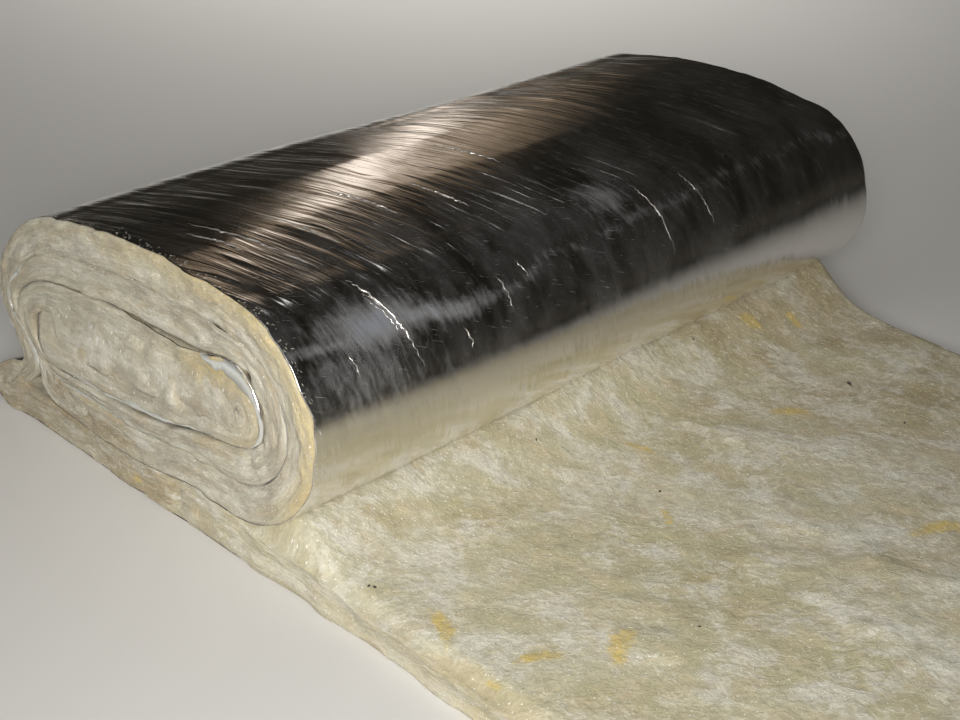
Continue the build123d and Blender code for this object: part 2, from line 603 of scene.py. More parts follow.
def pick(*pieces):
    """Selects these pieces and no others, with the first one active."""
    bpy.ops.object.select_all(action="DESELECT")
    for piece in pieces:
        piece.select_set(True)
    bpy.context.view_layer.objects.active = pieces[0]


def face_out(piece):
    """Turns all of a closed piece's faces outwards."""
    pick(piece)
    bpy.ops.object.mode_set(mode="EDIT")
    bpy.ops.mesh.select_all(action="SELECT")
    bpy.ops.mesh.normals_make_consistent(inside=False)
    bpy.ops.object.mode_set(mode="OBJECT")


def spaced(start, end, step):
    """Even places from start to end, at most a step apart."""
    return np.linspace(start, end, max(2, math.ceil((end - start) / step) + 1))


def stations(line, most, open_from):
    """Where a strip's loops stand along the blanket: close together in the bends, and
    otherwise at most this far apart, up to the open run."""
    bend = np.concatenate([[0], abs(np.diff(line.ways)) / np.maximum(np.diff(line.s), 1e-9)])
    want = np.clip(LOOP_TURN / np.maximum(bend, 1e-6), LOOP_LEAST, most)
    want = np.where(line.s > open_from, RUN_STEP, want)
    count = np.concatenate([[0], np.cumsum(np.diff(line.s) / ((want[1:] + want[:-1]) / 2))])
    marks = np.linspace(0, count[-1], math.ceil(count[-1]) + 1)
    return np.interp(marks, count, line.s)


def close_wool(points, faces, first, place, columns, marks, through, sign):
    """Adds the cut face at one end of the wool, this far along, to the points and
    faces. The end's loop starts at point first and has these columns over its open
    face, of which those at marks have a fellow under the facing."""
    # The end's loop in its four parts, then rows of points from the open face down
    sides = len(through) - 2
    near = range(first, first + sides)
    upper = range(near.stop, near.stop + len(columns))
    far = range(upper.stop, upper.stop + sides)
    lower = range(far.stop, far.stop + len(marks))[::-1]
    grid = [list(upper)]
    total = sum(len(group) for group in points)
    for k in range(1, sides + 1):
        inner = range(total, total + len(columns) - 2)
        total = inner.stop
        grid.append([near[sides - k], *inner, far[k - 1]])
        layer = np.full(len(inner), through[sides + 1 - k])
        points.append(np.column_stack([np.full(len(inner), place), columns[1:-1], layer]))
    for high, low in zip(grid, grid[1:]):
        for i in range(len(columns) - 1):
            faces.append((high[i], high[i + 1], low[i + 1], low[i])[::sign])
    for i in range(len(marks) - 1):
        last_row = grid[-1][marks[i] : marks[i + 1] + 1]
        faces.append((*last_row, lower[i + 1], lower[i])[::sign])


def wool_strip(shape):
    """The wool's points on the flat stock (along, across, through), and its faces."""
    line = shape.line
    half, wide = line.half, shape.half_width
    s = stations(line, WOOL_STEP, shape.run_start)
    s = np.concatenate([s[s < line.run_from], spaced(line.run_from, line.s[-1], RUN_STEP)])
    rows = s >= shape.run_start
    # Layers and columns stand closer together towards the wool's faces and edges
    even = np.linspace(1, -1, WOOL_LAYERS + 1)
    through = half * (0.55 * even + 0.45 * np.sin(even * math.pi / 2))
    fine = np.concatenate([
        [-wide, -wide + 0.004, -wide + 0.01],
        np.linspace(-wide + 0.018, wide - 0.018, WOOL_COLUMNS),
        [wide - 0.01, wide - 0.004, wide],
    ])
    # Coarse loops keep these columns only
    middle = np.round(np.linspace(3, len(fine) - 4, COARSE_COLUMNS)).astype(int)
    thin = np.concatenate([[0, 2], middle, [len(fine) - 3, len(fine) - 1]])
    # Near cut edge, open face, far cut edge, and back along the face under the facing
    sides = WOOL_LAYERS - 1
    across = [np.full(sides, -wide), fine, np.full(sides, wide), fine[thin][::-1]]
    layers = [
        through[1:-1], np.full(len(fine), -half), through[1:-1][::-1], np.full(len(thin), half),
    ]
    loop = np.column_stack([np.concatenate(across), np.concatenate(layers)])
    coarse = np.concatenate([
        np.arange(sides), sides + thin, np.arange(sides + len(fine), len(loop)),
    ])
    points, firsts = strip_points(s, rows, loop, coarse)
    faces = strip_faces(len(loop), rows, firsts, list(coarse))
    close_wool(points, faces, firsts[0], s[0], fine[thin], range(len(thin)), through, -1)
    close_wool(points, faces, firsts[-1], s[-1], fine, thin, through, 1)
    return np.concatenate(points), faces


# Yellow patches with much binder: along, across, half as long, half as wide, and the
# way that they lie, in degrees from along towards across
BINDER = (
    (4.269, 0.482, 0.030, 0.020, 35), (4.343, 0.331, 0.022, 0.014, 50),
    (4.569, -0.168, 0.030, 0.006, -40), (4.514, 0.199, 0.034, 0.012, 50),
    (4.536, -0.550, 0.040, 0.012, -27), (4.698, -0.425, 0.040, 0.014, 115),
    (4.646, -0.510, 0.035, 0.010, 60), (4.64, -0.590, 0.020, 0.012, 50),
    (4.823, 0.089, 0.055, 0.014, 60), (4.436, -0.060, 0.03, 0.006, 20), (4.37, 0.42, 0.02, 0.01, 0),
    (5.3, 0.36, 0.04, 0.015, 20), (5.45, -0.3, 0.036, 0.014, -30), (5.8, 0.1, 0.04, 0.015, 70),
    (5.05, -0.52, 0.03, 0.012, 0), (5.95, -0.44, 0.04, 0.016, 40), (5.62, 0.5, 0.03, 0.013, 110),
)

# The spot of binder on the cut ends: along and through, and how far it reaches
END_BINDER = (4.012, 0.004, 0.012, 0.009)

# Where the cut ends are browner: low at the roll's back, where a stretch comes and goes
# and where one starts; and soiled on a patch beside the open face (its middle and reach)
BROWN_HEEL = (2.06, 2.12, 2.25, 2.33)
BROWN_FOOT = (3.6, 3.66)
SOILED_PATCH = (1.2, 0.1)

# Across the blanket, from where the cut ends start to differ in looks from the open
# face, and where they differ fully in their stains and in their shade
CUT_FROM = 0.585
CUT_STAINS, CUT_SHADE = 0.595, 0.597

# Painted shade in the hollows, and pale lumps, show up to here across: only the near end has them
PITS_TO = -0.58


def wool_marks(shape, s, y, h):
    """Where the wool is yellow with binder, soiled brown, or tan beside the foil."""
    at_end = ease(CUT_FROM, CUT_STAINS, abs(y))
    yellow = 0 * s
    for along, across, long, wide, way in BINDER:
        turn = cmath.exp(-1j * math.radians(way))
        place = ((s - along) + 1j * (y - across)) * turn
        bent = place.imag + 6 * place.real**2
        spot = bump(0, long, place.real) * bump(0, wide, bent)
        yellow = np.maximum(yellow, 0.8 * spot * (1 - at_end))
    along, through, long, thick = END_BINDER
    yellow = np.maximum(yellow, 0.6 * bump(along, long, s) * bump(through, thick, h) * at_end)
    # The run is browner along its long edges and towards its far side
    beside = 1 - ease(0, 0.05, shape.inward(y))
    brown = beside * ease(4.2, 4.4, s) * (0.2 + 0.4 * rough(91, 0.15, s, y))
    brown += 0.7 * ease(-0.25, 0.45, y) * ease(4.0, 4.3, s) * (1 - at_end)
    brown += 0.8 * stretch(BROWN_HEEL, s) * at_end
    up_to_seam = 1 - ease(SEAM - 0.012, SEAM, s + 0.2 * h)
    brown += 0.9 * ease(*BROWN_FOOT, s) * up_to_seam * at_end
    brown += 0.6 * bump(*SOILED_PATCH, s) * ease(0, 0.02, -h) * at_end
    # The outermost turn is tan beside the foil, and so is the innermost one's front
    rim = ease(-0.012, 0.020, h) * ease(2.5, 2.65, s) * (1 - 0.8 * ease(2.9, 3.3, s))
    rim = np.maximum(rim, 1.3 * ease(-0.012, 0.004, h) * bump(0.43, 0.08, s) * at_end)
    return np.column_stack([yellow, brown, rim])


def wool_shade(s, y, h):
    """Where the wool has painted shade in a little hollow, where it's fluffed up pale, and
    where it's a cut end and not the open face."""
    dark, pale = 0 * s, 0 * s
    for along, through, depth, reach, across in PITS:
        spot = bump(along, reach, s) * bump(through, across, h) * (y < PITS_TO)
        if depth > 0:
            # A hollow gets painted shade, more where it's deeper
            dark = np.maximum(dark, spot * min(1, depth / 0.012))
        else:
            pale = np.maximum(pale, spot)
    return np.column_stack([dark, pale, ease(CUT_FROM, CUT_SHADE, abs(y))])


# Which way the fibres lie on the open face, in radians from along towards across
FIBRE_LIE = 0.62


def wool_grain(s, y):
    """Places on the open face, turned to the fibres' lie, which swirls."""
    sway = 0.03 * rough(92, 0.2, s, y) + 0.012 * rough(93, 0.08, s, y)
    along = s * math.cos(FIBRE_LIE) + y * math.sin(FIBRE_LIE)
    across = y * math.cos(FIBRE_LIE) - s * math.sin(FIBRE_LIE)
    return np.column_stack([along, across + sway, 0 * s])


# How clear the wool stays of the foil and of the next turn, away from its edges
CLEAR_OF_FOIL = 0.005
CLEAR_OF_TURN = 0.004


def make_wool(shape, material):
    line = shape.line
    half = line.half
    stock, faces = wool_strip(shape)
    s, y, h = stock.T
    # The open face swells to meet the next turn, and lies in hummocks on the run
    open_side = np.clip(-h / half, 0, 1)
    ahead = shape.on_open_run(s)
    reach = h - open_side * shape.open_lift(s, y)
    hidden = ease(0.004, 0.02, shape.inward(y))
    foil_side = np.clip(h / half, 0, 1)
    reach = np.where(h > 0, reach - CLEAR_OF_FOIL * hidden * foil_side, reach)
    reach = np.where(h < 0, reach + CLEAR_OF_TURN * hidden * open_side * (1 - ahead), reach)
    torn = np.where(y < 0, shape.torn_edge(s, h, -1), shape.torn_edge(s, h, 1))
    edge = torn * np.sign(y) * shape.near_edge(y)
    # The blanket's inner end is soft and round, and fills the last turn
    slide = 0.028 * (1 - ease(0, 0.03, s)) * np.sqrt(np.clip(1 - (h / half) ** 2, 0, 1))
    points = shape.place(s, y, reach, edge, slide)
    # The run's cut end is fibrous too
    cut = 0.004 * rough(63, (0.05, 0.012), y, h) + 0.003 * rough(64, (0.02, 0.008), y, h)
    at_end = np.where(s > line.s[-1] - 1e-6, 1.0, 0.0)
    points[:, 0] += at_end * (cut - 0.003)
    points[:, 2] = np.maximum(points[:, 2], LEAST_HEIGHT)
    piece = new_piece(
        "wool_mat", points, faces, material,
        stock=stock, marks=wool_marks(shape, s, y, h), shade=wool_shade(s, y, h),
        grain=wool_grain(s, y),
    )
    face_out(piece)
    return piece


# Materials


def add(tree, kind, values=None, **links):
    """A node with its values set and its sockets fed. An input goes by its name, or by
    its place, which is a number among the values and such as in_0 among the links."""
    made = tree.nodes.new(kind)
    for key, value in (values or {}).items():
        if isinstance(key, str) and hasattr(made, key):
            setattr(made, key, value)
        else:
            made.inputs[key].default_value = value
    for key, socket in links.items():
        tree.links.new(socket, made.inputs[int(key[3:]) if key.startswith("in_") else key])
    return made


def mix_colour(tree, factor, first, second, blend="MIX"):
    made = add(tree, "ShaderNodeMix", {"data_type": "RGBA", "blend_type": blend})
    for socket, value in ((0, factor), (6, first), (7, second)):
        if isinstance(value, bpy.types.NodeSocket):
            tree.links.new(value, made.inputs[socket])
        elif socket:
            made.inputs[socket].default_value = (*value[:3], 1)
        else:
            made.inputs[socket].default_value = value
    return made.outputs[2]


def number(tree, operation, first, second=0.0, third=0.0):
    made = add(tree, "ShaderNodeMath", {"operation": operation})
    for socket, value in enumerate((first, second, third)):
        if isinstance(value, bpy.types.NodeSocket):
            tree.links.new(value, made.inputs[socket])
        elif socket < len(made.inputs):
            made.inputs[socket].default_value = value
    return made.outputs[0]


def band(tree, value, low, high, to_low=0.0, to_high=1.0):
    made = add(
        tree, "ShaderNodeMapRange",
        {"interpolation_type": "SMOOTHSTEP", 1: low, 2: high, 3: to_low, 4: to_high},
    )
    tree.links.new(value, made.inputs[0])
    return made.outputs[0]


def flow_noise(tree, vector, cell, turn=0.0, detail=3.0, roughness=0.6, warp=0.0):
    """Noise on the flat stock. cell is its grain in metres along, across and through,
    and turn swings its long way from along the blanket towards across it."""
    mapping = add(
        tree, "ShaderNodeMapping",
        {"vector_type": "TEXTURE", "Scale": cell, "Rotation": (0, 0, turn)}, Vector=vector,
    )
    noise = add(
        tree, "ShaderNodeTexNoise",
        {"Scale": 1.0, "Detail": detail, "Roughness": roughness, "Distortion": warp},
        Vector=mapping.outputs[0],
    )
    return noise.outputs[0]


def new_material(name):
    material = bpy.data.materials.new(name)
    material.use_nodes = True
    tree = material.node_tree
    tree.nodes.clear()
    shader = add(tree, "ShaderNodeBsdfPrincipled")
    output = add(tree, "ShaderNodeOutputMaterial")
    tree.links.new(shader.outputs[0], output.inputs[0])
    return material, tree, shader


def attribute(tree, name):
    return add(tree, "ShaderNodeAttribute", {"attribute_name": name}).outputs["Vector"]


def parts(tree, vector):
    return add(tree, "ShaderNodeSeparateXYZ", Vector=vector).outputs


def give_relief(tree, shader, height, depth):
    bumps = add(tree, "ShaderNodeBump", {"Strength": 1.0, "Distance": depth}, Height=height)
    tree.links.new(bumps.outputs[0], shader.inputs["Normal"])


# How the foil's wrinkles lean from along the blanket towards across it, in radians
WRINKLE_LEAN = 0.26


def wool_material(looks):
    material, tree, shader = new_material("fibrous wool")
    stock, grain = attribute(tree, "stock"), attribute(tree, "grain")
    along = parts(tree, stock)[0]
    yellow, brown, rim = parts(tree, attribute(tree, "marks"))
    pit_shade, lump, at_end = parts(tree, attribute(tree, "shade"))

    def fibres(cell, end_cell, detail, warp):
        """Noise drawn out one way on the open face and along the layers on the ends."""
        face = flow_noise(tree, grain, cell, 0, detail, 0.65, warp)
        end = flow_noise(tree, stock, end_cell, 0, detail, 0.65, warp)
        made = add(tree, "ShaderNodeMix", {"data_type": "FLOAT"})
        for socket, source in ((0, at_end), (2, face), (3, end)):
            tree.links.new(source, made.inputs[socket])
        return made.outputs[0]

    hair = fibres((0.006, 0.0013, 1), (0.007, 1, 0.0011), 2, 0.4)
    lock = fibres((0.015, 0.010, 1), (0.026, 1, 0.0035), 4, 0.8)
    cross = flow_noise(tree, grain, (0.005, 0.0012, 1), 0.9, 2, 0.6, 0.4)
    fluff = flow_noise(tree, stock, (0.016, 0.016, 0.008), 0, 5, 0.65, 0.3)
    fine = flow_noise(tree, stock, (0.0028, 0.0028, 0.002), 0, 3, 0.75, 0.3)
    cloud = flow_noise(tree, stock, (0.08, 0.065, 0.02), 0.6, 5, 0.6, 0.4)
    patch = flow_noise(tree, stock, (0.26, 0.18, 0.06), 0.6, 3, 0.55, 0.3)
    # Olive patches on the open run, greyer ones on the cut ends
    hollow = mix_colour(tree, band(tree, along, 3.9, 4.25), looks.wool_grey, looks.wool_olive)
    spread = number(tree, "MULTIPLY_ADD", cloud, 0.9, patch)
    base = mix_colour(tree, band(tree, spread, 0.66, 1.18), hollow, looks.wool_pale)
    # Brown stains, and the thin veins that run round them
    stain = flow_noise(tree, stock, (0.17, 0.11, 0.03), 0.8, 6, 0.65, 0.5)
    soil = number(tree, "MULTIPLY_ADD", brown, 0.3, stain)
    base = mix_colour(tree, band(tree, soil, 0.5, 0.82, 0, 0.6), base, looks.wool_brown)
    vein = number(tree, "ABSOLUTE", number(tree, "SUBTRACT", stain, 0.47))
    near_vein = band(tree, vein, 0.0, 0.018, 0.4, 0)
    thread = number(tree, "MULTIPLY", near_vein, band(tree, cloud, 0.4, 0.6))
    base = mix_colour(tree, thread, base, looks.wool_brown)
    blush = flow_noise(tree, stock, (0.06, 0.04, 0.03), 0.4, 4, 0.6, 0.6)
    base = mix_colour(tree, band(tree, blush, 0.46, 0.64, 0, 0.55), base, looks.wool_blush)
    # Silvery patches, and the fluffed-up lumps: paler fibre with a painted sheen
    fibre_and_sheen = band(tree, number(tree, "MULTIPLY_ADD", lock, 0.6, cloud), 0.75, 0.96)
    fibre_and_sheen = number(tree, "MULTIPLY", number(tree, "MAXIMUM", fibre_and_sheen, lump), 0.55)
    base = mix_colour(tree, fibre_and_sheen, base, looks.fibre)
    # Yellow binder with ragged edges, and the tan rim beside the foil
    ragged = number(tree, "MULTIPLY_ADD", cloud, 0.6, number(tree, "MULTIPLY", lock, 0.9))
    golden = band(tree, number(tree, "ADD", yellow, ragged), 0.98, 1.3, 0, 1)
    golden = number(tree, "MULTIPLY", golden, band(tree, fluff, 0.35, 0.6, 0.5, 0.85))
    base = mix_colour(tree, golden, base, looks.wool_yellow)
    tan = number(tree, "MULTIPLY", rim, band(tree, lock, 0.3, 0.65, 0.35, 0.85))
    base = mix_colour(tree, tan, base, looks.wool_rim)
    # Painted shade between the fibres and in the hollows
    dark = number(tree, "MULTIPLY_ADD", fluff, 0.5, number(tree, "MULTIPLY", fine, 0.5))
    dark = number(tree, "MULTIPLY_ADD", lock, 0.35, dark)
    dark = band(tree, dark, 0.48, 0.88, 0.76, 1.1)
    dark = number(tree, "MULTIPLY", dark, band(tree, pit_shade, 0.25, 0.7, 1, 0.3))
    shadow = add(tree, "ShaderNodeCombineColor", Red=dark, Green=dark, Blue=dark)
    base = mix_colour(tree, 1.0, base, shadow.outputs[0], "MULTIPLY")
    # Pale streaks of fibre with painted glints, and painted glints as fine as dust, most in the
    # silvery patches
    glint_streak = number(tree, "MULTIPLY_ADD", fibre_and_sheen, 0.15, number(tree, "MAXIMUM", hair, cross))
    base = mix_colour(tree, band(tree, glint_streak, 0.71, 0.86, 0, 0.24), base, looks.painted_glint)
    spark = add(tree, "ShaderNodeTexVoronoi", {"Scale": 300.0, "Randomness": 1.0}, Vector=stock)
    lit = add(tree, "ShaderNodeSeparateColor", Color=spark.outputs["Color"]).outputs[0]
    lit = band(tree, number(tree, "MULTIPLY_ADD", fibre_and_sheen, 0.25, lit), 0.9, 0.92, 0, 0.85)
    point = number(tree, "MULTIPLY", band(tree, spark.outputs["Distance"], 0.15, 0.4, 1, 0), lit)
    base = mix_colour(tree, point, base, looks.painted_glint)
    tree.links.new(base, shader.inputs["Base Color"])
    shader.inputs["Roughness"].default_value = 0.7
    shader.inputs["Sheen Weight"].default_value = 0.1
    shader.inputs["Specular IOR Level"].default_value = 0.4
    height = number(tree, "MULTIPLY_ADD", hair, 0.06, number(tree, "MULTIPLY", lock, 0.4))
    height = number(tree, "MULTIPLY_ADD", fluff, 0.5, height)
    height = number(tree, "MULTIPLY_ADD", fine, 0.22, height)
    give_relief(tree, shader, height, 0.0045)
    return material


def foil_material(looks):
    material, tree, shader = new_material("wrinkled foil")
    stock = attribute(tree, "stock")
    scuff_and_blue_sheen, lip, dusty = parts(tree, attribute(tree, "marks"))
    # A ragged haze where it's scuffed, a thin film where it's dusty, specks and scratches, all dull
    # with a painted bluish reflection
    smear = flow_noise(tree, stock, (0.2, 0.09, 1), 0.3, 4, 0.6, 0.4)
    jag = flow_noise(tree, stock, (0.035, 0.008, 1), -0.15, 4, 0.7, 0.3)
    mottle = flow_noise(tree, stock, (0.03, 0.025, 1), 0, 5, 0.7, 0.4)
    jagged = number(tree, "MULTIPLY_ADD", jag, 0.9, mottle)
    haze = band(tree, number(tree, "MULTIPLY_ADD", jagged, 0.8, scuff_and_blue_sheen), 0.75, 2.1)
    veil = number(tree, "MULTIPLY_ADD", smear, 0.7, number(tree, "MULTIPLY", mottle, 0.5))
    film = number(tree, "MULTIPLY", band(tree, veil, 0.45, 0.85, 0, 0.08), dusty)
    speck = flow_noise(tree, stock, (0.003, 0.0022, 1), 0, 2, 0.6, 0)
    scratch = flow_noise(tree, stock, (0.001, 0.03, 1), 0.35, 2, 0.5, 0.2)
    nicks = number(tree, "MAXIMUM", speck, number(tree, "MULTIPLY", scratch, 1.03))
    wear_and_blue_sheen = band(tree, number(tree, "MULTIPLY_ADD", dusty, 0.12, nicks), 0.82, 0.88, 0, 0.6)
    wear_and_blue_sheen = number(tree, "MAXIMUM", number(tree, "MAXIMUM", haze, film), wear_and_blue_sheen)
    # The dulled foil gets a painted bluish reflection
    base = mix_colour(tree, wear_and_blue_sheen, looks.foil, looks.scuff_and_blue_sheen)
    base = mix_colour(tree, lip, base, looks.foil_edge)
    tree.links.new(base, shader.inputs["Base Color"])
    # Worn foil and the curled lip are less of a mirror
    metal = number(tree, "MULTIPLY_ADD", wear_and_blue_sheen, -0.6, 1.0)
    metal = number(tree, "SUBTRACT", metal, number(tree, "MULTIPLY", lip, 0.6))
    tree.links.new(metal, shader.inputs["Metallic"])
    dull = number(tree, "MAXIMUM", wear_and_blue_sheen, lip)
    smooth = band(tree, smear, 0.3, 0.7, 0.14, 0.21)
    tree.links.new(number(tree, "MULTIPLY_ADD", dull, 0.3, smooth), shader.inputs["Roughness"])
    # Fine wrinkles that drift from side to side as they run
    drift = flow_noise(tree, stock, (0.3, 0.12, 1), 0.2, 2, 0.5, 0)
    sway = add(tree, "ShaderNodeCombineXYZ", Y=number(tree, "MULTIPLY", drift, 0.05))
    swayed = add(
        tree, "ShaderNodeVectorMath", {"operation": "ADD"}, in_0=stock, in_1=sway.outputs[0],
    ).outputs[0]
    wrinkle = flow_noise(tree, swayed, (0.16, 0.011, 1), -WRINKLE_LEAN, 2, 0.5, 0.15)
    crinkle = flow_noise(tree, swayed, (0.05, 0.005, 1), -0.2, 2, 0.5, 0.2)
    give_relief(tree, shader, number(tree, "MULTIPLY_ADD", crinkle, 0.25, wrinkle), 0.0013)
    return material


def plain_material(name, base, roughness, metallic=0.0):
    material, _, shader = new_material(name)
    shader.inputs["Base Color"].default_value = (*base, 1)
    shader.inputs["Roughness"].default_value = roughness
    shader.inputs["Metallic"].default_value = metallic
    return material


# The foil

# The foil's mesh: metres between its loops in the roll, at most, and on the run, and
# columns over the part that shows
FOIL_STEP = 0.0058
FOIL_RUN_STEP = 0.03
FOIL_COLUMNS = 222

# The foil stands this far off its place, so that it never lies in the wool's own face
FOIL_LIFT = 0.0004

# Layers of wrinkles: height, and grain along and across them
WRINKLES = ((0.0005, 0.16, 0.022), (0.0004, 0.14, 0.011))

# Where the foil is slackest, near the roll's near end, and where it's tight at the back
SLACK_FOIL = (2.88, 2.98, 3.12, 3.22)
TIGHT_FROM, TIGHT_TO = 3.14, 3.26

# The shoulder, where the roll's front turns into its crown
SHOULDER = 2.815


def foil_relief(s, y):
    """The facing's wrinkles, outwards: they run slanting round the roll."""
    y = y + 0.03 * rough(70, (0.3, 0.15), s, y)
    along = s * math.cos(WRINKLE_LEAN) - y * math.sin(WRINKLE_LEAN)
    across = s * math.sin(WRINKLE_LEAN) + y * math.cos(WRINKLE_LEAN)
    slack = 1 + 0.3 * stretch(SLACK_FOIL, s) * (1 - ease(0.1, 0.4, y))
    slack = slack - 0.5 * ease(TIGHT_FROM, TIGHT_TO, s)
    relief = 0.0006 * rough(73, (0.2, 0.08), s, y)
    for layer, (height, long, wide) in enumerate(WRINKLES):
        relief += height * slack * rough(71 + layer, (long, wide), along, across)
    return relief


# The stretches where the foil's near edge curls over the cut wool: from, to and how far
LIPS = (
    (0.85, 1.12, 0.011), (0.02, 0.28, 0.009), (1.91, 2.08, 0.026), (0.33, 0.475, 0.024),
)

# A lip widens and narrows over this stretch at its ends, and elsewhere the edge is
# hardly curled
LIP_FADE = 0.05
LEAST_LIP = 0.0006


def lip_width(s):
    """How far the foil's near edge curls over the cut wool, this far along."""
    width = LEAST_LIP + 0 * s
    for start, end, reach in LIPS:
        shown = stretch((start, start + LIP_FADE, end - LIP_FADE, end), s)
        width = np.maximum(width, reach * shown * (0.75 + 0.4 * rough(81, 0.03, s, s)))
    return width


# Scuffed spots on the foil, dull with a painted bluish reflection: strength, along,
# across, and how far they reach either way
SCUFF_AND_SHEEN_SPOTS = (
    (0.75, 2.812, -0.46, 0.03, 0.08), (0.35, 2.77, -0.5, 0.05, 0.1), (0.45, 2.86, 0.02, 0.03, 0.05),
)


def foil_marks(s, y, lip):
    """Where the foil is dulled, with a painted bluish reflection: along the roll's shoulder
    and on a few spots of it, and where dust lies on it."""
    shoulder = SHOULDER + 0.012 * np.sin(y * 5) + 0.012 * rough(82, (0.05, 0.09), s, y)
    scuff_and_blue_sheen = 0.6 * bump(shoulder, 0.009, s)
    scuff_and_blue_sheen = scuff_and_blue_sheen * (0.75 + 0.5 * rough(83, 0.15, y, s)) * (1 - 0.75 * ease(-0.1, 0.45, y))
    for strength, along, across, long, wide in SCUFF_AND_SHEEN_SPOTS:
        scuff_and_blue_sheen = np.maximum(scuff_and_blue_sheen, strength * bump(along, long, s) * bump(across, wide, y))
    dusty = stretch((2.66, 2.76, 2.9, 3.02), s) * (1 - 0.5 * ease(-0.1, 0.5, y))
    return np.column_stack([scuff_and_blue_sheen, lip, dusty])


def foil_strip(shape, seen_from, seen_to):
    """The foil's points, and its faces. A point has its place on the flat stock (along,
    across, through), then which share of the lip's width it is in from the edge, and
    whether it's on the lip's back."""
    line = shape.line
    half, skin, wide = line.half, line.skin, shape.half_width
    s = stations(line, FOIL_STEP, line.s[-1])
    s = np.concatenate([s[s < line.run_from], spaced(line.run_from, line.s[-1], FOIL_RUN_STEP)])
    rows = (s > seen_from) & (s < seen_to)
    fine = np.concatenate([
        [-wide, -wide + 0.002],
        np.linspace(-wide + 0.006, wide - 0.006, FOIL_COLUMNS),
        [wide - 0.002, wide],
    ])
    # Coarse loops keep these columns only
    middle = np.round(np.linspace(2, len(fine) - 3, COARSE_COLUMNS + 1)).astype(int)
    thin = np.concatenate([[0, 1], middle, [len(fine) - 2, len(fine) - 1]])
    # Inner face with half the columns, outer face, then out and back along the lip at
    # the near edge
    inner = np.unique(np.concatenate([thin, np.arange(0, len(fine), 2)]))
    both = len(inner) + len(fine)
    across = np.concatenate([fine[inner], fine[::-1], np.full(4, -wide)])
    layer = np.concatenate([np.full(len(inner), half), np.full(len(fine) + 4, skin)])
    curl = np.concatenate([np.zeros(both), [0.5, 1, 1, 0.5]])
    back = np.concatenate([np.zeros(both), [0, 0, 1, 1]])
    loop = np.column_stack([across, layer, curl, back])
    coarse = np.concatenate([
        np.searchsorted(inner, thin), (both - 1 - thin)[::-1], np.arange(both, both + 4),
    ])
    points, firsts = strip_points(s, rows, loop, coarse)
    faces = strip_faces(len(loop), rows, firsts, list(coarse))
    # Each end is closed from the inner face to the outer one, and round the lip
    count = len(thin)
    for first, sign in ((firsts[0], 1), (firsts[-1], -1)):
        for i in range(count - 1):
            a, b = first + i, first + 2 * count - 1 - i
            faces.append((a, a + 1, b - 1, b)[::sign])
        lip = [first + 2 * count - 1 + k for k in range(5)] + [first]
        faces.append((lip[0], lip[1], lip[4], lip[5])[::sign])
        faces.append((lip[1], lip[2], lip[3], lip[4])[::sign])
    return np.concatenate(points), faces


def make_foil(shape, material):
    line = shape.line
    half, skin = line.half, line.skin
    # Wrinkled and finely meshed where it shows, from the roll's front up to the run
    seen_from = line.skin_from - 0.05
    stock, faces = foil_strip(shape, seen_from, line.run_from + 0.02)
    s, y, h, curl, back = stock.T
    shown = stretch((seen_from, seen_from + 0.03, line.run_from - 0.05, line.run_from), s)
    width = lip_width(s)
    wrinkles = shown * foil_relief(s, y) * shape.off_edge(y)
    reach = h + wrinkles + FOIL_LIFT - width * curl
    # Its near edge and the lip follow the cut wool just under them. The lip stands proud
    # of the wool where it's wide, and is sunk into it where it's narrow
    under_lip = shape.end_relief(s, skin - width * curl, -1)
    relief = np.where(curl > 0, under_lip, shape.end_relief(s, 0 * s + half * 0.98, -1))
    relief = relief + 0.002 * rough(84, 0.03, s, y) * shown
    proud = np.where(curl > 0, np.clip(width / 0.004, 0, 1) * 0.003 - 0.0015, 0) - 0.0004 * back
    # Along the run it keeps just inside the wool's torn edges
    ahead = shape.on_open_run(s)
    centre, _ = line.at(s)
    torn = relief * (1 - 0.5 * ahead) + ahead * (run_edge(centre.real, y) - 0.004)
    edge = (torn + proud) * np.sign(y) * shape.near_edge(y)
    points = shape.place(s, y, reach, edge)
    points[:, 2] = np.maximum(points[:, 2], np.where(h > half + 1e-6, 0, LEAST_HEIGHT))
    piece = new_piece(
        "foil_skin", points, faces, material,
        stock=stock[:, :3], marks=foil_marks(s, y, (curl > 0) * 1.0),
    )
    face_out(piece)
    return piece


# Sharp folds pinched into the foil: from (along, across) to (along, across), and height
FOLDS = (
    (2.872, -0.450, 2.752, -0.413, 0.0022), (2.845, -0.452, 2.79, -0.43, 0.0009),
    (2.817, -0.245, 2.773, -0.240, 0.0010), (2.866, 0.088, 2.757, 0.098, 0.0010),
    (2.853, 0.190, 2.772, 0.200, 0.0010), (3.100, -0.512, 2.905, -0.460, 0.0020),
    (3.075, -0.535, 2.985, -0.512, 0.0016), (3.060, -0.428, 2.94, -0.395, 0.0015),
    (3.075, -0.305, 2.957, -0.272, 0.0018), (2.79, -0.52, 2.765, -0.514, 0.0014),
    (2.824, -0.20, 2.80, -0.192, 0.0012), (2.776, -0.33, 2.752, -0.325, 0.0012),
    (3.03, -0.2, 2.93, -0.168, 0.0014), (3.12, -0.06, 3.0, -0.03, 0.0014),
    (2.848, -0.446, 2.782, -0.418, 0.0014),
)


# A fold's cross section: where its ridge and its two feet stand, across, and how deep
# the feet are set in the foil
FOLD_RIDGE, FOLD_FEET = 0.0002, (-0.0014, 0.0011)
FOLD_DEPTH = 0.0006


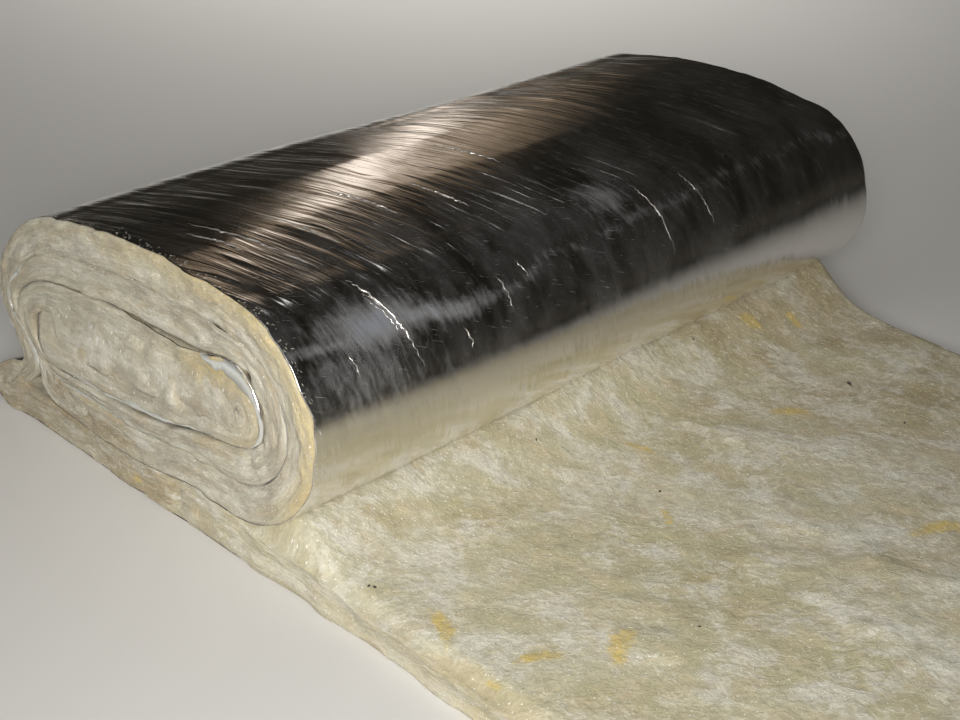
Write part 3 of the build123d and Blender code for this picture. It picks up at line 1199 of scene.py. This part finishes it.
def make_folds(shape, material):
    """Narrow three-sided ridges that follow the foil and run out to nothing."""
    points, faces, flow = [], [], []
    for fold, (s0, y0, s1, y1, height) in enumerate(FOLDS):
        count = max(8, math.ceil(math.hypot(s1 - s0, y1 - y0) / 0.003))
        t = np.linspace(0, 1, count)
        taper = np.sin(np.pi * np.clip(t, 0.001, 0.999)) ** 0.6
        wander = 0.003 * rough(120 + fold, 0.03, t * 0.1 + fold, t)
        s = s0 + (s1 - s0) * t
        y = y0 + (y1 - y0) * t + wander + 0.004 * np.sin(np.pi * t)
        taper = taper * (0.75 + 0.35 * rough(140 + fold, 0.012, s, y))
        base = shape.line.skin + FOIL_LIFT + foil_relief(s, y)
        first = sum(len(group) for group in points)
        left, right = FOLD_FEET
        for across, up in ((left, -FOLD_DEPTH), (FOLD_RIDGE, height), (right, -FOLD_DEPTH)):
            rise = up * taper if up > 0 else up
            points.append(shape.place(s, y + across * taper, base + rise))
            flow.append(np.column_stack([s, y + across, base]))
        for i in range(count - 1):
            for k in range(3):
                a, b = first + k * count + i, first + (k + 1) % 3 * count + i
                faces.append((a, a + 1, b + 1, b))
        faces.append(tuple(first + k * count for k in range(3)))
        faces.append(tuple(first + k * count + count - 1 for k in range(3))[::-1])
    points, flow = np.concatenate(points), np.concatenate(flow)
    piece = new_piece("foil_folds", points, faces, material, stock=flow, marks=0 * flow)
    face_out(piece)
    return piece


# Loose strands

# Along a strand, from its near end to its far one, and how a bowed one arches
ALONG = np.linspace(-0.5, 0.5, 5)[None, :]
ARCH = 1 - (2 * ALONG) ** 2

# How far a strand's ends stand clear of what it lies on
STRAND_CLEAR = 0.0004

# Loose strands lie on the run from this X on the roll's section and on the cut ends up to
# this one, and fluff lies on the foil between these places along the blanket
RUN_STRANDS_FROM = 0.42
END_STRANDS_TO = 1.0
FLUFF_FROM, FLUFF_TO = 2.52, 3.35


def strand_mesh(name, lines, radius, material):
    """Closed three-sided strands along lines, an array of (strand, point, axis), that
    are thinner towards their ends."""
    count, steps, _ = lines.shape
    along = np.gradient(lines, axis=1)
    along /= np.linalg.norm(along, axis=2, keepdims=True) + 1e-12
    side = np.cross(along, (0.3, 0.2, 0.93))
    side /= np.linalg.norm(side, axis=2, keepdims=True) + 1e-12
    up = np.cross(side, along)
    taper = np.sin(np.linspace(0.35, math.pi - 0.35, steps))[None, :, None] * radius[:, None, None]
    rings = []
    for k in range(3):
        angle = math.radians(120 * k)
        rings.append(lines + taper * (side * math.cos(angle) + up * math.sin(angle)))
    points = np.stack(rings, axis=2).reshape(-1, 3)
    faces = []
    for strand in range(count):
        first = strand * steps * 3
        for i in range(steps - 1):
            for k in range(3):
                a, b = first + i * 3 + k, first + i * 3 + (k + 1) % 3
                faces.append((a, b, b + 3, a + 3))
        last = first + (steps - 1) * 3
        faces.append((first + 2, first + 1, first))
        faces.append((last, last + 1, last + 2))
    return new_piece(name, points, faces, material)


def run_strands(shape, draw, count, short, long, arched):
    """Loose strands that lie on the open wool of the run."""
    line = shape.line
    s0 = draw.uniform(line.run_s(RUN_STRANDS_FROM), line.s[-1] - 0.03, count)
    y0 = draw.uniform(-shape.half_width + 0.02, shape.half_width - 0.02, count)
    swirl = FIBRE_LIE + 0.9 * rough(101, 0.25, s0, y0) + draw.normal(0, 0.55, count)
    size = draw.uniform(short, long, count)
    bow = draw.normal(0, 0.2, count)
    angle = swirl[:, None] + bow[:, None] * ALONG * 2
    s = s0[:, None] + size[:, None] * ALONG * np.cos(angle)
    y = y0[:, None] + size[:, None] * ALONG * np.sin(angle)
    y = np.clip(y, -shape.half_width + 0.003, shape.half_width - 0.003)
    s = np.minimum(s, line.s[-1] - 0.002)
    arch = draw.uniform(0.0, arched, count)[:, None] * ARCH
    lift = shape.open_lift(s.ravel(), y.ravel())
    h = -(line.half + lift + STRAND_CLEAR + arch.ravel())
    return shape.place(s.ravel(), y.ravel(), h).reshape(*s.shape, 3)


def end_strands(shape, draw, count, side):
    """Loose strands on the cut faces at the roll's two ends."""
    line = shape.line
    s0 = draw.uniform(0.01, line.run_s(END_STRANDS_TO), count)
    h0 = draw.uniform(-line.half, line.half, count)
    size = draw.uniform(0.004, 0.015, count)
    angle = (draw.normal(0, 0.35, count) + 0.5 * rough(102, 0.08, s0, h0))[:, None]
    s = (s0[:, None] + size[:, None] * ALONG * np.cos(angle)).ravel()
    h = (h0[:, None] + size[:, None] * ALONG * np.sin(angle)).ravel()
    s, h = np.clip(s, 0.004, None), np.clip(h, -line.half, line.half)
    arch = (draw.uniform(0.0002, 0.004, count)[:, None] * ARCH).ravel()
    y = np.full(len(s), side * shape.half_width)
    reach = h - np.clip(-h / line.half, 0, 1) * shape.open_lift(s, y)
    edge = side * (shape.torn_edge(s, h, side) + arch)
    return shape.place(s, y, reach, edge).reshape(count, -1, 3)


def foil_fluff(shape, draw, count):
    """Wool fluff that clings to the foil beside the roll's near edge."""
    line = shape.line
    s0 = draw.uniform(FLUFF_FROM, FLUFF_TO, count)
    y0 = -shape.half_width + 0.001 + abs(draw.normal(0, 0.008, count))
    size = draw.uniform(0.0015, 0.0045, count)
    angle = draw.uniform(0, math.pi, count)[:, None]
    bow = draw.normal(0, 0.12, count)[:, None] * ARCH
    s = (s0[:, None] + size[:, None] * (ALONG * np.cos(angle) - bow * np.sin(angle))).ravel()
    y = (y0[:, None] + size[:, None] * (ALONG * np.sin(angle) + bow * np.cos(angle))).ravel()
    y = np.maximum(y, -shape.half_width - 0.002)
    lift = STRAND_CLEAR + (draw.uniform(0, 0.0006, count)[:, None] * ARCH).ravel()
    wrinkles = foil_relief(s, y) * shape.off_edge(y)
    return shape.place(s, y, line.skin + wrinkles + lift).reshape(count, -1, 3)


# The stage

# Where each lamp stands and what it faces
KEY_LINE = (0.78, -1.86, 1.24), (-0.6, -0.15, 0.1)
FILL_LINE = (-0.5, -2.2, 3.6), (-0.6, -0.2, 0)
BACK_LINE = (-3.2, 2.2, 3.4), (-3.3, 2.3, 0)
SOFT_BOX_LINE = (-2.954, 1.883, 1.312), (-0.95, 0, 0.35)

# Which way the soft box's long side lies
SOFT_BOX_ALONG = (-0.06, 0.402, -0.913)


def area_lamp(name, watts, size, place, target, spread=180, along=(1, 0, 0)):
    """A soft lamp that faces target, with its long side as near along as it can be and
    its beam this many degrees wide."""
    lamp = bpy.data.lights.new(name, "AREA")
    lamp.shape = "RECTANGLE"
    lamp.size, lamp.size_y = size
    lamp.energy = watts
    lamp.spread = math.radians(spread)
    back = (Vector(place) - Vector(target)).normalized()
    side = Vector(along) - back * back.dot(Vector(along))
    side.normalize()
    holder = bpy.data.objects.new(name, lamp)
    turn = Matrix((side, back.cross(side), back)).transposed().to_4x4()
    holder.matrix_world = Matrix.Translation(place) @ turn
    holder.visible_camera = False
    bpy.context.scene.collection.objects.link(holder)
    return holder


# Patches of light on the soft box: where along and across it, how far they reach either
# way, and how bright they are
GLOWS = (
    (0.20, 0.25, 0.75, 0.20, 4.0), (-0.20, 0.02, 0.45, 0.30, 1.5), (-0.70, 0.27, 0.35, 0.30, 0.9),
    (0.30, 0.00, 0.55, 0.38, 0.7), (-0.05, -0.26, 0.75, 0.34, 0.45),
)
DIM_GLOW, BRIGHT_GLOW = (1, 0.74, 0.5), (1, 0.88, 0.78)

# The room's dim light, a little brighter at the horizon than above 17 degrees
ROOM_COLOUR = (1, 0.9, 0.72, 1)
ROOM_LOW, ROOM_HIGH = 0.03, 0.01

# Where the camera stood, as fitted to the photo, and its axes
CAMERA_PLACE = (0.6050226, -1.66404127, 1.2016303)
CAMERA_RIGHT = (0.72327305, 0.68769303, 0.06288403)
CAMERA_UP = (-0.36375811, 0.3020016, 0.88117823)
CAMERA_BACK = (0.58698905, -0.66020704, 0.46858353)


def mirrored_lamp(watts):
    """A soft box whose light fades out towards its rim, for the foil to mirror."""
    width, height = 2.0, 1.2
    holder = area_lamp("soft box", watts, (width, height), *SOFT_BOX_LINE, along=SOFT_BOX_ALONG)
    lamp = holder.data
    lamp.use_nodes = True
    tree = lamp.node_tree
    tree.nodes.clear()
    spot = add(tree, "ShaderNodeNewGeometry").outputs["Parametric"]
    total = 0.0
    for along, across, long, wide, level in GLOWS:
        centre = (0.5 + along / width, 0.5 + across / height, 0)
        size = (long / width, wide / height, 1)
        placed = add(
            tree, "ShaderNodeMapping",
            {"vector_type": "TEXTURE", "Location": centre, "Scale": size}, Vector=spot,
        ).outputs[0]
        glow = add(tree, "ShaderNodeTexGradient", {"gradient_type": "SPHERICAL"}, Vector=placed)
        total = number(tree, "ADD", band(tree, glow.outputs[1], 0, 0.7, 0, level), total)
    tint = mix_colour(tree, band(tree, total, 0.4, 2.6), DIM_GLOW, BRIGHT_GLOW)
    shine = add(tree, "ShaderNodeEmission", Color=tint, Strength=total)
    output = add(tree, "ShaderNodeOutputLight")
    tree.links.new(shine.outputs[0], output.inputs[0])


def make_world():
    world = bpy.data.worlds.new("room")
    bpy.context.scene.world = world
    world.use_nodes = True
    tree = world.node_tree
    tree.nodes.clear()
    way = add(tree, "ShaderNodeTexCoord").outputs["Generated"]
    height = add(tree, "ShaderNodeSeparateXYZ", Vector=way).outputs[2]
    level = band(tree, height, 0.0, 0.3, ROOM_LOW, ROOM_HIGH)
    background = add(tree, "ShaderNodeBackground", {"Color": ROOM_COLOUR}, Strength=level)
    output = add(tree, "ShaderNodeOutputWorld")
    tree.links.new(background.outputs[0], output.inputs[0])


def make_camera(stage):
    camera = bpy.data.cameras.new("camera")
    camera.sensor_width = 36
    camera.lens = stage.lens
    holder = bpy.data.objects.new("camera", camera)
    turn = Matrix((CAMERA_RIGHT, CAMERA_UP, CAMERA_BACK)).transposed().to_4x4()
    holder.matrix_world = Matrix.Translation(CAMERA_PLACE) @ turn
    bpy.context.scene.collection.objects.link(holder)
    bpy.context.scene.camera = holder


# Operators, one for each piece or group of pieces

# The shape is worked out once, and each operator takes it from here
SHARED = {}


def shared_shape():
    if "shape" not in SHARED:
        SHARED["shape"] = Shape(Winding(bpy.context.scene.insulation_stock))
    return SHARED["shape"]


class MakeWoolMat(bpy.types.Operator):
    """Lay and wind the wool blanket"""

    bl_idname = "insulation.wool_mat"
    bl_label = "Wool blanket"

    def execute(self, context):
        piece = make_wool(shared_shape(), wool_material(context.scene.insulation_looks))
        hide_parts("wool_blanket")
        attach(piece, "root")
        return {"FINISHED"}


class MakeFoilSkin(bpy.types.Operator):
    """Lay and wind the wrinkled foil facing"""

    bl_idname = "insulation.foil_skin"
    bl_label = "Foil facing"

    def execute(self, context):
        piece = make_foil(shared_shape(), foil_material(context.scene.insulation_looks))
        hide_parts("foil_facing")
        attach(piece, "root")
        return {"FINISHED"}


class MakeFolds(bpy.types.Operator):
    """Pinch sharp folds into the foil on the roll"""

    bl_idname = "insulation.foil_folds"
    bl_label = "Folds in the foil"

    def execute(self, context):
        crease = context.scene.insulation_looks.crease
        piece = make_folds(shared_shape(), plain_material("creased foil", crease, 0.3, 0.8))
        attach(piece, "root")
        return {"FINISHED"}


class MakeStrands(bpy.types.Operator):
    """Scatter loose strands over the open wool and the cut ends"""

    bl_idname = "insulation.loose_strands"
    bl_label = "Loose strands"

    def execute(self, context):
        looks = context.scene.insulation_looks
        shape = shared_shape()
        draw = np.random.RandomState(7)
        bright = plain_material("glassy strand", looks.fibre, 0.45)
        # Each group's name, its thinnest radius and its strands, drawn in this order
        groups = (
            ("strands_on_run", 0.0001, run_strands(shape, draw, 3000, 0.006, 0.02, 0.0035)),
            ("flecks_on_run", 0.0002, run_strands(shape, draw, 3400, 0.003, 0.007, 0.001)),
            ("strands_on_near_end", 0.0001, end_strands(shape, draw, 3600, -1)),
            ("strands_on_far_end", 0.0001, end_strands(shape, draw, 2400, 1)),
            ("fluff_on_foil", 0.00008, foil_fluff(shape, draw, 200)),
        )
        for name, thin, lines in groups:
            radius = draw.uniform(thin, 2.4 * thin, len(lines))
            piece = strand_mesh(name, lines, radius, bright)
            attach(piece, "root")
        return {"FINISHED"}


# Bits of dirt on the run: along, across and size
CHIPS = (
    (4.527, 0.342, 0.0042), (4.257, -0.417, 0.0028), (4.430, -0.562, 0.0026),
    (4.424, -0.566, 0.0018), (4.354, -0.189, 0.0016), (4.524, -0.127, 0.0018),
    (4.333, 0.194, 0.0018), (4.646, 0.303, 0.0020), (4.74, -0.33, 0.0018),
    (5.21, 0.12, 0.003), (5.6, -0.4, 0.0024), (5.9, 0.33, 0.003),
)


class ScatterChips(bpy.types.Operator):
    """Drop bits of dirt on the open wool"""

    bl_idname = "insulation.dark_chips"
    bl_label = "Dark chips"

    def execute(self, context):
        shape = shared_shape()
        draw = np.random.RandomState(11)
        material = plain_material("dark chip", context.scene.insulation_looks.chip, 0.8)
        along, across, size = np.array(CHIPS).T
        lift = shape.open_lift(along, across)
        places = shape.place(along, across, -(shape.line.half + lift + 0.25 * size))
        # Each is a ball made uneven and flat
        chips = []
        for place, radius in zip(places, size):
            bpy.ops.object.select_all(action="DESELECT")
            bpy.ops.mesh.primitive_ico_sphere_add(
                subdivisions=2, radius=radius, location=place, rotation=draw.uniform(0, 6, 3),
            )
            chips.append(context.active_object)
            bpy.ops.object.mode_set(mode="EDIT")
            bpy.ops.transform.vertex_random(offset=radius * 0.3, seed=int(draw.randint(1, 99)))
            bpy.ops.mesh.select_all(action="SELECT")
            bpy.ops.transform.resize(value=(1.4, 0.9, 0.5), orient_type="LOCAL")
            bpy.ops.object.mode_set(mode="OBJECT")
        pick(*chips)
        bpy.ops.object.join()
        bpy.ops.object.transform_apply(location=True, rotation=True, scale=True)
        piece = context.active_object
        piece.name = "dark_chips"
        piece.data.materials.append(material)
        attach(piece, "root")
        return {"FINISHED"}


class SetStage(bpy.types.Operator):
    """Set up the floor, the lamps and the camera"""

    bl_idname = "insulation.stage"
    bl_label = "Stage"

    def execute(self, context):
        stage = context.scene.insulation_stage
        bpy.ops.object.select_all(action="DESELECT")
        bpy.ops.mesh.primitive_plane_add(size=120)
        floor = context.active_object
        floor.name = "floor"
        floor.data.materials.append(plain_material("pale floor", stage.floor, 0.9))
        area_lamp("key lamp", stage.key_power, (0.8, 0.6), *KEY_LINE, spread=100)
        area_lamp("fill lamp", stage.fill_power, (3.0, 3.0), *FILL_LINE)
        mirrored_lamp(stage.soft_power)
        area_lamp("back lamp", stage.back_power, (2.6, 2.6), *BACK_LINE, spread=85)
        make_world()
        make_camera(stage)
        context.scene.view_settings.view_transform = "Standard"
        return {"FINISHED"}


OPERATORS = (MakeWoolMat, MakeFoilSkin, MakeFolds, MakeStrands, ScatterChips, SetStage)


class InsulationPanel(bpy.types.Panel):
    """Lists the pieces of the insulation roll"""

    bl_idname = "VIEW3D_PT_insulation"
    bl_label = "Insulation roll"
    bl_space_type = "VIEW_3D"
    bl_region_type = "UI"
    bl_category = "Insulation"

    def draw(self, context):
        for operator in OPERATORS:
            self.layout.operator(operator.bl_idname)


CLASSES = (InsulationStock, InsulationLooks, InsulationStage, *OPERATORS, InsulationPanel)


def register():
    for each in CLASSES:
        bpy.utils.register_class(each)
    bpy.types.Scene.insulation_stock = PointerProperty(type=InsulationStock)
    bpy.types.Scene.insulation_looks = PointerProperty(type=InsulationLooks)
    bpy.types.Scene.insulation_stage = PointerProperty(type=InsulationStage)


def unregister():
    del bpy.types.Scene.insulation_stage
    del bpy.types.Scene.insulation_looks
    del bpy.types.Scene.insulation_stock
    for each in reversed(CLASSES):
        bpy.utils.unregister_class(each)


def main():
    register()
    bpy.ops.insulation.wool_mat()
    bpy.ops.insulation.foil_skin()
    bpy.ops.insulation.foil_folds()
    bpy.ops.insulation.loose_strands()
    bpy.ops.insulation.dark_chips()
    bpy.ops.insulation.stage()


if __name__ == "__main__":
    main()
